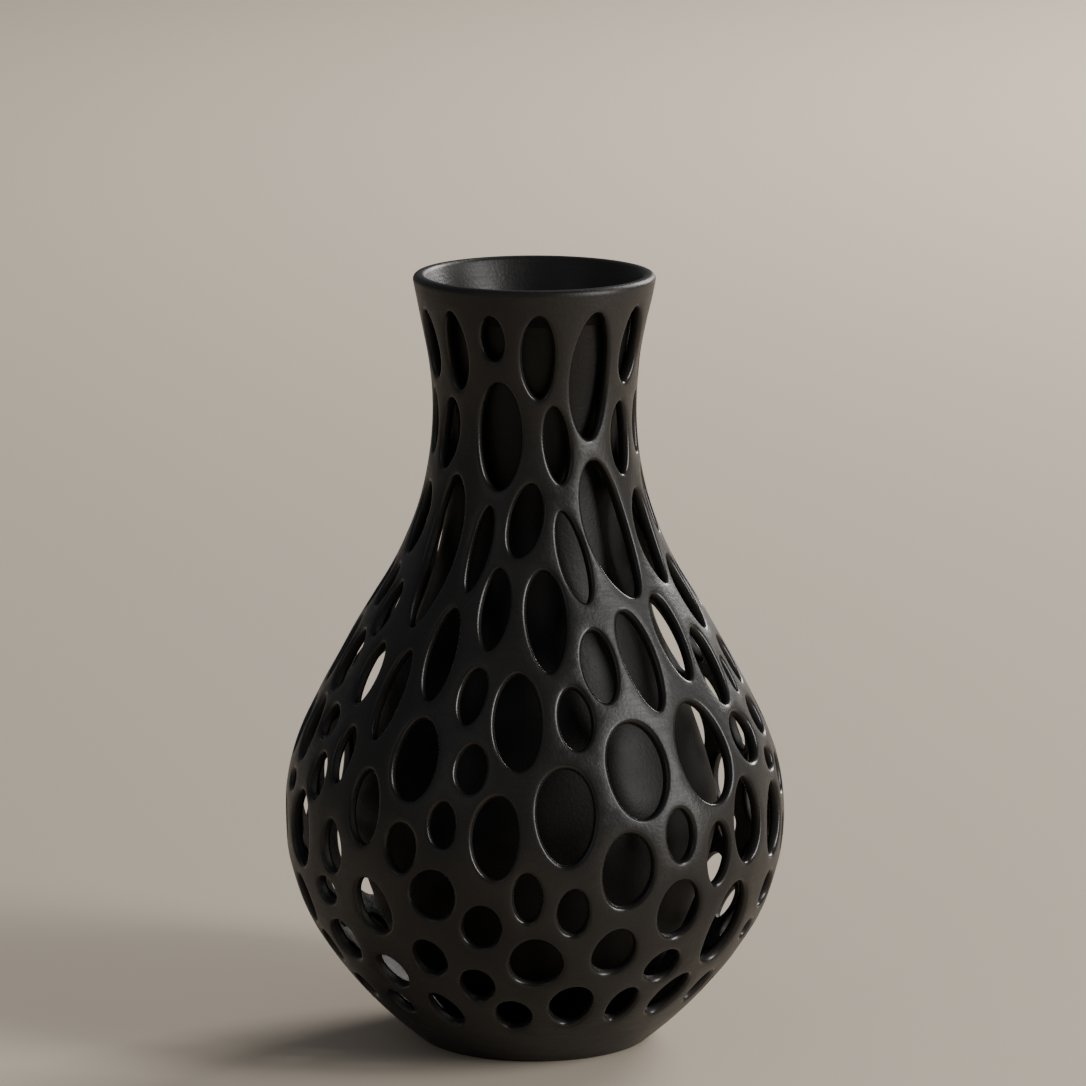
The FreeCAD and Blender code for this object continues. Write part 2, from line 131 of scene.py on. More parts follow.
# The openings on one half of the outer wall; the other half repeats them.  Each is an oval:
# bearing from the front (degrees, positive to the right), distance up the wall from the foot's
# edge (mm), width as an angle about the axis (degrees), length up the wall (mm), lean (degrees,
# positive where the top leans left), and how much wider it is at its top than in its middle.
CHART = [
    # row under the rim
    (-69, 306, 18, 28, 0, 0), (-45.5, 305.5, 17, 32, 0, 0), (-22, 311.5, 14.5, 19, 0, 0),
    (2, 304.5, 20, 34, 0, 0.06), (32, 296.5, 25.5, 51, 0, 0.05), (61, 306.5, 20, 31, 0, 0),
    (86.5, 306, 17, 30, 0, 0),
    # neck
    (-76, 275, 13, 26, 0, 0), (-56, 272.5, 18.5, 29, -10, 0), (-20, 273.5, 28, 42, 0, 0.03),
    (12.8, 270.5, 16.6, 30.5, 6, 0), (56.5, 270.5, 18, 29, 0, 0), (80.5, 274, 16, 25, 0, 0),
    (-73, 237.5, 17, 30, 0, 0), (-47, 227, 20, 62, 0, 0.12), (-25.8, 230.3, 11, 35, -6, 0.06),
    (-4.6, 242, 18.5, 29.5, -12, 0), (17.6, 227.5, 14.2, 37.5, 9, 0), (38.4, 236.5, 26.5, 56, 8, 0),
    (65, 231, 17.5, 39, -4, 0.1), (85, 243, 13, 28, 0, 0),
    # shoulder
    (-88.5, 207, 9, 24, 0, 0), (-76.5, 208.5, 9.5, 20, 0, 0), (-65.3, 200.5, 10.5, 25, 0, 0),
    (-31.2, 187.8, 11.4, 39, 0, 0), (-15, 207.3, 12.5, 34, 0, 0), (4.3, 203.2, 15.8, 42, 2, 0.04),
    (20.5, 184.3, 11.8, 30.5, 2, 0), (35.2, 185, 12.6, 42, 4, 0.04), (51.6, 191.5, 13, 37, -2, 0),
    (64.4, 176, 12.6, 33.5, -5, 0), (77, 205.5, 14.5, 33, -8, 0), (74.3, 169.5, 4.2, 16, 0, 0),
    (84, 173.5, 10, 22, 0, 0), (-85.5, 178, 8, 30, 0, 0), (-73.8, 176, 12.6, 28, 0, 0),
    (-57.3, 175, 9, 27, 0, 0), (-44.4, 169, 8.8, 38, -3, 0), (-18, 172.8, 9, 24, -6, 0),
    (-4.5, 163.3, 14, 39.5, 3, 0), (11.2, 164.3, 10.4, 26, 2, 0),
    # belly
    (26, 143, 16.5, 39, 0, 0), (47, 145.3, 18, 42, 0, 0), (65.7, 146, 12.6, 22, 0, 0),
    (80, 150, 9, 17.5, 0, 0), (-66.5, 152, 9.2, 15.5, 0, 0), (-54.3, 142.5, 7.4, 24, 0, 0),
    (-76.5, 146, 9, 28, 8, 0), (-87.5, 144, 8.6, 26, 4, 0), (-62.6, 131, 8, 20, 0, 0),
    (-30.8, 146, 13.2, 34, 0, 0), (-15.6, 144.5, 9, 20.5, 0, 0), (-42.9, 124.8, 9.8, 30.5, 3, 0),
    (-21.4, 122.4, 7.5, 19, 0, 0), (-8.9, 118.7, 11.8, 33.5, -3, 0), (7.3, 127, 14.5, 39, 0, 0),
    (35.2, 116, 8.3, 22, 0, 0), (21.7, 104.5, 13.2, 31, -5, 0), (-31.6, 112, 8.8, 20.5, 0, 0),
    (46.5, 106, 8, 26, -3, 0), (58, 115.3, 12, 34.5, -4, 0), (73, 110.5, 11.6, 30.5, -12, 0),
    (76.5, 133, 7, 10.5, 0, 0), (84.5, 124, 8, 18, 0, 0), (83, 101, 5.5, 17, 0, 0),
    (-53.3, 106.5, 8, 22, 3, 0), (-69, 108, 12.5, 31.5, 0, 0), (-78.2, 124, 6.5, 9.5, 0, 0),
    (-86, 106, 11.5, 21, 0, 0),
    # bowl
    (-23.8, 94.7, 12, 21.5, -20, 0), (-12.4, 82.5, 10.3, 20, -12, 0), (-1.5, 95.3, 7.5, 21.5, 0, 0),
    (9, 89, 8.2, 21, 0, 0), (0.4, 66.3, 14.3, 24.5, 0, 0), (20, 70, 12, 23, -8, 0),
    (35.8, 86, 12.8, 26, 0, 0), (54.2, 74, 14.4, 37.5, -6, 0), (35.4, 59.8, 11.5, 17.5, -25, 0),
    (73, 82, 9, 16, 0, 0), (84, 80.5, 8, 19, 0, 0), (68.5, 66, 6, 10, 0, 0), (77.5, 58, 10, 18, 0, 0),
    (89.5, 60, 9, 19, 0, 0), (-57, 87.5, 8.4, 12.5, 0, 0), (-40.7, 86, 11, 24.5, 14, 0),
    (-27.2, 65.8, 10.2, 19, 0, 0), (-15.6, 53.2, 10.4, 20, -8, 0), (-41.5, 55, 11, 18.5, 0, 0),
    (-55.7, 66, 11.5, 20, -10, 0), (-73, 78, 10, 22, 0, 0), (-85, 80, 9, 18, 0, 0),
    (-79.5, 53, 9, 16, 0, 0), (-69, 58, 9, 16, 0, 0),
    # row above the foot
    (-80, 34, 9, 12, 0, 0), (-64, 39, 10, 13, 0, 0), (-47, 35.5, 10.5, 15, 0, 0),
    (-28.8, 36, 11, 21.5, 10, 0), (-6.5, 35.6, 12.2, 20.5, 0, 0), (11, 41.2, 14, 25.5, 0, 0.08),
    (27.3, 39.8, 10.2, 22, -5, 0), (44.3, 41, 12.8, 25, -14, 0), (60, 40, 9, 18, -10, 0),
    (73, 37, 10, 14, 0, 0), (87, 38, 10, 16, 0, 0),
]


def linear(hex_colour):
    """An sRGB hex colour as linear red, green and blue."""
    parts = [int(hex_colour[i:i + 2], 16) / 255 for i in (0, 2, 4)]
    return tuple(p / 12.92 if p <= 0.04045 else ((p + 0.055) / 1.055) ** 2.4 for p in parts)


def length(name, description, millimetres):
    """A length property whose default is given in millimetres."""
    return bpy.props.FloatProperty(
        name=name, description=description, default=millimetres * MM, min=0, precision=5,
        unit="LENGTH", subtype="DISTANCE")


def slope(name, description, degrees):
    """An angle property whose default is given in degrees."""
    return bpy.props.FloatProperty(
        name=name, description=description, default=math.radians(degrees), unit="ROTATION",
        subtype="ANGLE")


def colour(name, description, hex_colour):
    """A colour property whose default is an sRGB hex colour."""
    return bpy.props.FloatVectorProperty(
        name=name, description=description, default=linear(hex_colour), min=0, max=1, size=3,
        subtype="COLOR")


class WallSizes(bpy.types.PropertyGroup):
    """Sizes of the outer wall's outer face: five tangent runs from the foot to the brim."""
    base: length("Base height", "Height of the underside", 0.0)
    foot_radius: length("Foot radius", "Radius of the underside's edge", 45.0)
    foot_arc: length("Foot arc", "Radius of the arc that flares up from the foot", 181.0)
    belly_radius: length("Belly radius", "Widest radius", BELLY_RADIUS / MM)
    belly_height: length("Belly height", "Height of the widest point", 88.9)
    belly_arc: length("Belly arc", "Radius of the arc at the widest point", 88.0)
    shoulder_arc: length("Shoulder arc", "Radius of the long arc up to the neck", 548.0)
    neck_radius: length("Neck radius", "Narrowest radius", 39.4)
    neck_height: length("Neck height", "Height of the narrowest point", 247.8)
    neck_arc: length("Neck arc", "Radius of the hollow arc at the neck", 126.7)
    flare: slope("Flare", "Slope of the straight flare under the brim", 11.0)
    thickness: length("Thickness", "Thickness of the wall", 4.6)
    floor: length("Floor", "Thickness of the floor", 6.0)


class VesselSizes(bpy.types.PropertyGroup):
    """Sizes of the inner vessel's outer face, in the same five runs."""
    base: length("Base height", "Height of the underside", 6.0)
    foot_radius: length("Foot radius", "Radius of the underside's edge", 31.5)
    foot_arc: length("Foot arc", "Radius of the arc that flares up from the foot", 151.5)
    belly_radius: length("Belly radius", "Widest radius", 71.3)
    belly_height: length("Belly height", "Height of the widest point", 91.2)
    belly_arc: length("Belly arc", "Radius of the arc at the widest point", 36.0)
    shoulder_arc: length("Shoulder arc", "Radius of the long arc up to the neck", 342.0)
    neck_radius: length("Neck radius", "Narrowest radius", 32.5)
    neck_height: length("Neck height", "Height of the narrowest point", 233.0)
    neck_arc: length("Neck arc", "Radius of the hollow arc at the neck", 175.0)
    flare: slope("Flare", "Slope of the straight flare under the brim", 9.5)
    thickness: length("Thickness", "Thickness of the wall", 2.9)
    floor: length("Floor", "Thickness of the floor", 4.5)


class VaseSettings(bpy.types.PropertyGroup):
    """What a user would change on the vase."""
    outer: bpy.props.PointerProperty(
        type=WallSizes, name="Outer wall", description="The pierced outer wall")
    inner: bpy.props.PointerProperty(
        type=VesselSizes, name="Inner vessel", description="The plain inner vessel")
    height: length("Height", "Height of the vase", HEIGHT / MM)
    foot_joint: length("Foot joint", "Distance up the wall where the foot ends", 22.5)
    rim_joint: length("Rim joint", "Height where the rim ring sits on the outer wall", 292.5)
    vessel_top: length("Vessel top", "Height where the rim ring meets the inner vessel", 285.0)
    lip_thickness: length("Lip thickness", "Width across the lip", 4.8)
    lip_rounding: length("Lip rounding", "Radius of the lip's edges", 2.1)
    foot_rounding: length("Foot rounding", "Radius of the foot's lower edge", 1.6)
    edge_inside: length("Edge inside", "How far an opening's softened edge reaches inside its oval", 0.8)
    edge_outside: length("Edge outside", "How far it reaches outside its oval, where there is room", 0.9)
    hand_play: length("Hand play", "How far the hand-worked surface strays inwards", 0.45)
    clay: colour("Clay", "Smoke-fired clay in its burnished state", "1a1714")
    clay_dark: colour("Clay, dark", "Clay where the smoke has settled deepest", "0f0d0c")
    # painted shade: this darker colour is laid on the openings' throats, standing in for the shade that
    # falls inside them
    clay_cut_painted_shade: colour("Clay, cut, painted shade", "Clay on the unburnished knife cuts", "0f0d0b")
    # painted shade: the inner vessel's clay is darker than the outer clay, standing in for the shade inside
    # the outer wall; its duller finish is real
    clay_liner_painted_shade: colour("Clay, liner, painted shade", "Clay of the inner vessel, smoothed but not burnished", "110f0e")
    roughness: bpy.props.FloatProperty(
        name="Roughness", description="Roughness of the burnished clay", default=0.46, min=0, max=1,
        subtype="FACTOR")
    floor_colour: colour("Floor", "Plain studio floor", "d5c8b6")


class Meridian:
    """The outer face of a turned shell as tangent runs, walked by distance from its foot."""

    def __init__(self, sizes, height):
        belly = Vector((sizes.belly_radius - sizes.belly_arc, sizes.belly_height))
        neck = Vector((sizes.neck_radius + sizes.neck_arc, sizes.neck_height))
        heel = Vector((sizes.foot_radius, sizes.base))
        foot = meeting(belly, sizes.foot_arc - sizes.belly_arc, heel, sizes.foot_arc, -1)
        shoulder = meeting(
            belly, sizes.shoulder_arc - sizes.belly_arc, neck, sizes.shoulder_arc + sizes.neck_arc, 1)
        start = angle_of(heel - foot)
        first = angle_of(belly - foot)
        second = angle_of(belly - shoulder)
        third = angle_of(neck - shoulder)
        throat = neck + Vector((-math.cos(sizes.flare), math.sin(sizes.flare))) * sizes.neck_arc
        rise = (height - throat.y) / math.cos(sizes.flare)
        self.flare = Vector((math.sin(sizes.flare), math.cos(sizes.flare)))
        self.throat = throat
        self.arcs = [
            (foot, sizes.foot_arc, start, first),
            (belly, sizes.belly_arc, first, second),
            (shoulder, sizes.shoulder_arc, second, third),
            (neck, sizes.neck_arc, third + math.pi, math.pi - sizes.flare),
        ]
        self.arc_lengths = [radius * abs(end - begin) for _, radius, begin, end in self.arcs]
        self.length = sum(self.arc_lengths) + rise

    def at(self, up, depth=0.0):
        """Radius and height at a distance up the face and a depth into the wall."""
        rest = up
        for (centre, radius, begin, end), run in zip(self.arcs, self.arc_lengths):
            if rest <= run:
                angle = begin + (end - begin) * rest / run
                reach = radius - depth if end > begin else radius + depth
                return centre + Vector((math.cos(angle), math.sin(angle))) * reach
            rest -= run
        return self.throat + self.flare * rest + Vector((-self.flare.y, self.flare.x)) * depth

    def up_to(self, height, depth=0.0):
        """Distance up the face at which it reaches a height."""
        low, high = 0.0, self.length
        for _ in range(40):
            middle = (low + high) / 2
            if self.at(middle, depth).y < height:
                low = middle
            else:
                high = middle
        return (low + high) / 2

    def stretch(self, begin, end, step, depth=0.0):
        """Evenly spaced points from one distance to another, ends included."""
        count = max(1, round(abs(end - begin) / step))
        return [self.at(begin + (end - begin) * i / count, depth) for i in range(count + 1)]


def angle_of(ray):
    """Angle of a ray from the radial direction."""
    return math.atan2(ray.y, ray.x)


def meeting(centre_a, reach_a, centre_b, reach_b, side):
    """A point at given distances from two centres, on the chosen side of the line between them."""
    apart = centre_b - centre_a
    gap = apart.length
    along = (gap ** 2 + reach_a ** 2 - reach_b ** 2) / (2 * gap)
    off = math.sqrt(reach_a ** 2 - along ** 2)
    unit = apart / gap
    return centre_a + unit * along + Vector((-unit.y, unit.x)) * off * side


def add(tree, kind, *values, into=None, **settings):
    """Add a node with its own settings, and fill its inputs: values in order, and `into` by name or number.

    A node given as a value stands for its first output, and a list links several values to one input.
    """
    node = tree.nodes.new(kind)
    for name, value in settings.items():
        setattr(node, name, value)
    for socket, given in [*enumerate(values), *(into or {}).items()]:
        for value in given if isinstance(given, list) else [given]:
            if isinstance(value, bpy.types.Node):
                value = value.outputs[0]
            if isinstance(value, bpy.types.NodeSocket):
                tree.links.new(value, node.inputs[socket])
            elif value is not None:
                node.inputs[socket].default_value = value
    return node


def new_tree(name, inputs):
    """An empty modifier tree with a geometry input, named inputs and a geometry output."""
    tree = bpy.data.node_groups.new(name, "GeometryNodeTree")
    tree.interface.new_socket("Geometry", in_out="INPUT", socket_type="NodeSocketGeometry")
    for label, kind in inputs:
        tree.interface.new_socket(label, in_out="INPUT", socket_type="NodeSocket" + kind)
    tree.interface.new_socket("Geometry", in_out="OUTPUT", socket_type="NodeSocketGeometry")
    return tree, tree.nodes.new("NodeGroupInput")


def made_by(tree, source, name, values):
    """Run a tree on a source object and keep the result as a plain mesh piece."""
    modifier = source.modifiers.new(tree.name, "NODES")
    modifier.node_group = tree
    for socket in tree.interface.items_tree:
        if socket.in_out == "INPUT" and socket.name in values:
            modifier[socket.identifier] = values[socket.name]
    source.update_tag()
    depsgraph = bpy.context.evaluated_depsgraph_get()
    depsgraph.update()
    mesh = bpy.data.meshes.new_from_object(source.evaluated_get(depsgraph), depsgraph=depsgraph)
    source.modifiers.remove(modifier)
    bpy.data.objects.remove(source)
    mesh.name = name
    piece = bpy.data.objects.new(name, mesh)
    bpy.context.collection.objects.link(piece)
    return piece


def sheet_object(name, points, faces=(), edges=()):
    """A mesh object from points and faces, to feed a tree."""
    mesh = bpy.data.meshes.new(name)
    mesh.from_pydata(points, edges, faces)
    source = bpy.data.objects.new(name, mesh)
    bpy.context.collection.objects.link(source)
    return source


def hand_play(tree, shape, depth):
    """Let the surface stray inwards a little, as hand-worked clay does, and both faces alike."""
    position = add(tree, "GeometryNodeInputPosition")
    broad = add(tree, "ShaderNodeTexNoise", into={
        "Vector": position, "Scale": 1 / HAND_PLAY_SPAN, "Detail": 1.0})
    apart = add(tree, "ShaderNodeSeparateXYZ", position)
    flat = add(tree, "ShaderNodeCombineXYZ", apart.outputs[0], apart.outputs[1])
    out = add(tree, "ShaderNodeVectorMath", flat, operation="NORMALIZE")
    outwards = add(tree, "ShaderNodeMath", broad, depth, operation="MULTIPLY")
    inwards = add(tree, "ShaderNodeMath", outwards, -1.0, operation="MULTIPLY")
    shift = add(tree, "ShaderNodeVectorMath", out, into={"Scale": inwards}, operation="SCALE")
    return add(tree, "GeometryNodeSetPosition", shape, into={"Offset": shift})


def finish_tree(tree, shape, material):
    """Weld, give the clay and end the tree."""
    welded = add(tree, "GeometryNodeMergeByDistance", shape, into={"Distance": JOIN})
    real = add(tree, "GeometryNodeRealizeInstances", welded)
    clay = add(tree, "GeometryNodeSetMaterial", real, into={"Material": material})
    add(tree, "NodeGroupOutput", clay)


def turned_form_tree():
    """Turn an outline, given as points in the radius and height plane, once about the vase's axis."""
    tree, start = new_tree("Turned clay form", [
        ("Steps round", "Int"), ("Hand play", "Float"), ("Clay", "Material")])
    outline = start.outputs["Geometry"]
    count = add(tree, "GeometryNodeAttributeDomainSize", outline).outputs["Point Count"]
    last = add(tree, "ShaderNodeMath", count, 1, operation="SUBTRACT")
    columns = add(tree, "ShaderNodeMath", start.outputs["Steps round"], 1, operation="ADD")
    grid = add(tree, "GeometryNodeMeshGrid", 1.0, 1.0, count, columns)
    position = add(tree, "GeometryNodeInputPosition")
    place = add(tree, "ShaderNodeSeparateXYZ", position)
    row = add(tree, "ShaderNodeMath", place.outputs[0], 0.5, operation="ADD")
    row = add(tree, "ShaderNodeMath", row, last, operation="MULTIPLY")
    row = add(tree, "ShaderNodeMath", row, operation="ROUND")
    point = add(tree, "GeometryNodeSampleIndex", into={
        "Geometry": outline, "Index": row}, data_type="FLOAT_VECTOR")
    tree.links.new(position.outputs[0], point.inputs["Value"])
    section = add(tree, "ShaderNodeSeparateXYZ", point)
    angle = add(tree, "ShaderNodeMath", place.outputs[1], 0.5, operation="ADD")
    angle = add(tree, "ShaderNodeMath", angle, TAU, operation="MULTIPLY")
    sine = add(tree, "ShaderNodeMath", angle, operation="SINE")
    cosine = add(tree, "ShaderNodeMath", angle, operation="COSINE")
    across = add(tree, "ShaderNodeMath", sine, section.outputs[0], operation="MULTIPLY")
    away = add(tree, "ShaderNodeMath", cosine, section.outputs[0], operation="MULTIPLY")
    nearer = add(tree, "ShaderNodeMath", away, -1.0, operation="MULTIPLY")
    turned = add(tree, "ShaderNodeCombineXYZ", across, nearer, section.outputs[2])
    shape = add(tree, "GeometryNodeSetPosition", grid, into={"Position": turned})
    worked = hand_play(tree, shape, start.outputs["Hand play"])
    finish_tree(tree, worked, start.outputs["Clay"])
    return tree


def corner(before, at, after, radius, steps=6):
    """Round one corner of an outline with an arc that is tangent to both of its sides."""
    to_before = (before - at).normalized()
    to_after = (after - at).normalized()
    half = to_before.angle(to_after) / 2
    setback = radius / math.tan(half)
    middle = (to_before + to_after).normalized() * (radius / math.sin(half)) + at
    first = at + to_before * setback - middle
    last = at + to_after * setback - middle
    sweep = first.angle_signed(last)
    turned = []
    for i in range(steps + 1):
        angle = -sweep * i / steps
        turned.append(middle + Vector((
            first.x * math.cos(angle) - first.y * math.sin(angle),
            first.x * math.sin(angle) + first.y * math.cos(angle))))
    return turned


def turned_piece(name, outline, settings, material, sharp_at=()):
    """A turned piece from its outline, with some of its rings left as sharp arrises."""
    source = sheet_object(name + "_outline", [(p.x, 0.0, p.y) for p in outline])
    piece = made_by(turned_form_tree(), source, name, {
        "Steps round": STEPS_ROUND, "Hand play": settings.hand_play, "Clay": material})
    shade(piece, sharp_at)
    return piece


def shade(piece, sharp_at=()):
    """Smooth the piece and point its faces outwards, keeping sharp the rings at the given heights."""
    mesh = piece.data
    mesh.shade_smooth()
    if signed_volume(mesh) < 0:
        mesh.flip_normals()
    for edge in mesh.edges:
        ends = [mesh.vertices[i].co for i in edge.vertices]
        for radius, height in sharp_at:
            if all(abs(p.z - height) < SEAM and abs(math.hypot(p.x, p.y) - radius) < SEAM for p in ends):
                edge.use_edge_sharp = True


def signed_volume(mesh):
    """Volume inside a closed mesh, negative if it is inside out."""
    total = 0.0
    for face in mesh.polygons:
        corners = [mesh.vertices[i].co for i in face.vertices]
        for second, third in zip(corners[1:], corners[2:]):
            total += corners[0].dot(second.cross(third)) / 6
    return total


def rim_ring_outline(settings, wall, vessel):
    """Section of the rim ring: flared band, rounded lip, bore, and the tongue between the two walls."""
    seat = wall.at(wall.up_to(settings.rim_joint))
    brim = wall.at(wall.length)
    inside_brim = brim - Vector((settings.lip_thickness, 0))
    bore = vessel.at(vessel.up_to(settings.vessel_top, settings.inner.thickness), settings.inner.thickness)
    tongue_foot = vessel.at(vessel.up_to(settings.vessel_top)) + Vector((TONGUE_PLAY, 0))
    bed = wall.at(wall.up_to(settings.rim_joint, settings.outer.thickness), settings.outer.thickness)
    bed -= Vector((TONGUE_PLAY, 0))
    rounding = settings.lip_rounding
    outline = [seat.lerp(brim, i / 8) for i in range(6)]
    outline += corner(seat, brim, inside_brim, rounding)
    outline += corner(brim, inside_brim, bore, rounding)
    outline += [bore.lerp(inside_brim, i / 8) for i in range(6, -1, -1)]
    outline += [tongue_foot, bed, seat]
    return outline, [seat, bore]


def foot_outline(settings, wall):
    """Section of the foot: rounded lower edge, flared band, joint face, and the floor inside."""
    heel = wall.at(0)
    top = wall.at(settings.foot_joint)
    inside_top = wall.at(settings.foot_joint, settings.outer.thickness)
    inside = wall.up_to(settings.outer.floor, settings.outer.thickness)
    outline = [Vector((0, 0)), Vector((heel.x * 0.5, 0))]
    outline += corner(Vector((0, 0)), heel, wall.at(settings.foot_rounding * 3), settings.foot_rounding)
    outline += wall.stretch(settings.foot_rounding * 2, settings.foot_joint, MERIDIAN_STEP)
    outline += reversed(wall.stretch(inside, settings.foot_joint, MERIDIAN_STEP, settings.outer.thickness))
    outline += [Vector((0, settings.outer.floor))]
    return outline, [top, inside_top]


def vessel_outline(settings, vessel):
    """Section of the inner vessel: seat, outer face, top, inner face and floor."""
    thickness = settings.inner.thickness
    top = vessel.up_to(settings.vessel_top)
    inside_top = vessel.up_to(settings.vessel_top, thickness)
    inside_floor = vessel.up_to(settings.inner.base + settings.inner.floor, thickness)
    outline = [Vector((0, settings.inner.base))]
    outline += vessel.stretch(0, top, MERIDIAN_STEP)
    outline += reversed(vessel.stretch(inside_floor, inside_top, MERIDIAN_STEP, thickness))
    outline += [Vector((0, settings.inner.base + settings.inner.floor))]
    return outline, [vessel.at(top), vessel.at(inside_top, thickness)]


def openings(settings, wall):
    """The chart in radians and metres, with each opening's own edge rounding and its wander."""
    rng = random.Random(SEED)
    cut = []
    for bearing, up, width, tall, lean, egg in CHART:
        half_length = tall * MM / 2
        half_width = math.radians(width) / 2 * wall.at(up * MM).x
        cut.append({
            "bearing": math.radians(bearing),
            "up": up * MM,
            "half_width": half_width,
            "half_length": half_length,
            "lean": math.radians(lean),
            "egg": egg + rng.uniform(-EGG_PLAY, EGG_PLAY),
            "wander": rng.uniform(0, TAU),
            "grade": sum(half_width + half_length > limit * MM for limit in GRADE_LIMITS),
        })
    for opening, room in zip(cut, [room_round(opening, cut, wall) for opening in cut]):
        outside = min(settings.edge_outside, EDGE_ROOM * room)
        opening["half_width"] += outside
        opening["half_length"] += outside
        opening["edge"] = outside + settings.edge_inside
    return cut


def room_round(opening, cut, wall):
    """Least width of clay between one opening and its neighbours, on the whole wall."""
    least = BELLY_RADIUS
    own = [on_sheet(bearing, up, opening, wall) for bearing, up in edge_points(opening, wall)]
    for other in cut:
        reach = opening["half_length"] + other["half_length"] + ROOM_LOOKED_FOR * MM
        if other is opening or abs(other["up"] - opening["up"]) > reach:
            continue
        for bearing, up in edge_points(other, wall):
            spot = on_sheet(bearing, up, opening, wall)
            least = min(least, min((spot - point).length for point in own))
    return least


def on_sheet(bearing, up, opening, wall):
    """A place near an opening, laid flat: distance to its right and distance up the wall."""
    apart = (bearing - opening["bearing"] + math.pi / 2) % math.pi - math.pi / 2
    return Vector((apart * wall.at(opening["up"]).x, up))


def edge_points(opening, wall):
    """An opening's outer edge as bearings and distances up the wall, point by point."""
    points = []
    steps = GRADE_STEPS[opening["grade"]]
    for i in range(steps):
        turn = TAU * i / steps
        across = opening["half_width"] * math.cos(turn) * (1 + opening["egg"] * math.sin(turn))
        along = opening["half_length"] * math.sin(turn)
        swell = 1 + WANDER * math.cos(3 * turn + opening["wander"])
        cos_lean, sin_lean = math.cos(opening["lean"]), math.sin(opening["lean"])
        right = (across * cos_lean - along * sin_lean) * swell
        up = opening["up"] + (across * sin_lean + along * cos_lean) * swell
        points.append((opening["bearing"] + right / wall.at(up).x, up))
    return points


def even_chart(wall, low, high):
    """Distance up the wall against a measure in which small shapes keep their proportions."""
    step = (high - low) / MERIDIAN_RUNGS
    rungs = [(low, 0.0)]
    for i in range(1, MERIDIAN_RUNGS + 1):
        up = low + step * i
        rungs.append((up, rungs[-1][1] + step / wall.at(up).x))
    return rungs


def to_even(rungs, up):
    """The even measure at a distance up the wall."""
    low, high = rungs[0][0], rungs[-1][0]
    place = (up - low) / (high - low) * (len(rungs) - 1)
    whole = min(max(int(place), 0), len(rungs) - 2)
    return rungs[whole][1] + (rungs[whole + 1][1] - rungs[whole][1]) * (place - whole)


def clear_of(cut, wall, bearing, up, keep_off):
    """Whether a place on the wall stays off every opening's edge."""
    radius = wall.at(up).x
    for opening in cut:
        rise = up - opening["up"]
        reach = max(opening["half_length"], opening["half_width"]) + keep_off
        if abs(rise) > reach:
            continue
        apart = (bearing - opening["bearing"] + math.pi / 2) % math.pi - math.pi / 2
        run = apart * radius
        if abs(run) > reach:
            continue
        cos_lean, sin_lean = math.cos(opening["lean"]), math.sin(opening["lean"])
        across = run * cos_lean + rise * sin_lean
        along = rise * cos_lean - run * sin_lean
        wide = opening["half_width"] + keep_off
        tall = opening["half_length"] + keep_off
        if (across / wide) ** 2 + (along / tall) ** 2 < 1:
            return False
    return True


def half_rings(cut, wall):
    """Every opening's edge near one half of the wall, with its neighbours from across both seams."""
    limit = math.pi / 2 + math.radians(SEAM_MARGIN)
    rings = []
    for shift in (-math.pi, 0.0, math.pi):
        for opening in cut:
            if abs(opening["bearing"] + shift) < limit:
                rings.append([(bearing + shift, up) for bearing, up in edge_points(opening, wall)])
    return rings


def web_points(cut, wall, low, high):
    """Evenly spread points for the clay between the openings, row by row, with the two joint rows apart."""
    limit = math.pi / 2 + math.radians(SEAM_MARGIN)
    rows = round((high - low) / (WEB_STEP * MM))
    inside, joints = [], ([], [])
    for row in range(rows + 1):
        up = low + (high - low) * row / rows
        columns = round(math.pi * wall.at(up).x / (WEB_STEP * MM))
        reach = int(limit / math.pi * columns)
        for column in range(-reach, reach + 1):
            bearing = (column + 0.5 * (row % 2)) * math.pi / columns
            if row in (0, rows):
                joints[row == rows].append((bearing, up))
                continue
            sway = UNEVEN * WEB_STEP * MM * math.sin(2 * UNEVEN_WAVES[0] * bearing + UNEVEN_SHIFT * row)
            rise = sway * math.cos(2 * UNEVEN_WAVES[1] * bearing + row)
            place = (bearing + sway / wall.at(up).x, up + rise)
            if clear_of(cut, wall, *place, KEEP_OFF * WEB_STEP * MM):
                inside.append(place)
    return inside, joints


def web_plate(settings, wall, cut):
    """The clay left between the openings on half of the wall, laid flat: both faces and the joint edges.

    A point's place is its bearing, its distance up the wall and its depth in the wall.
    """
    low, high = settings.foot_joint, wall.up_to(settings.rim_joint)
    inside, joints = web_points(cut, wall, low, high)
    places, edges, ring_of = [], [], {}
    for ring in half_rings(cut, wall):
        loop = list(range(len(places), len(places) + len(ring)))
        ring_of.update((i, loop[0]) for i in loop)
        places += ring
        edges += zip(loop, loop[1:] + loop[:1])
    for row in joints:
        run = range(len(places), len(places) + len(row))
        places += row
        edges += zip(run, run[1:])
    places += inside
    rungs = even_chart(wall, low, high)
    flat = [Vector((bearing, to_even(rungs, up))) for bearing, up in places]
    _, _, faces, origins, _, _ = geometry.delaunay_2d_cdt(flat, edges, [], 0, FLAT_TOLERANCE, True)
    kept = []
    for face in faces:
        corners = [origins[i][0] for i in face]
        middle = sum(places[i][0] for i in corners) / len(corners)
        rings = {ring_of.get(i) for i in corners}
        in_opening = len(rings) == 1 and None not in rings
        if not in_opening and -math.pi / 2 <= middle < math.pi / 2:
            kept.append(corners)
    return plate_object(settings, places, kept, (low, high))


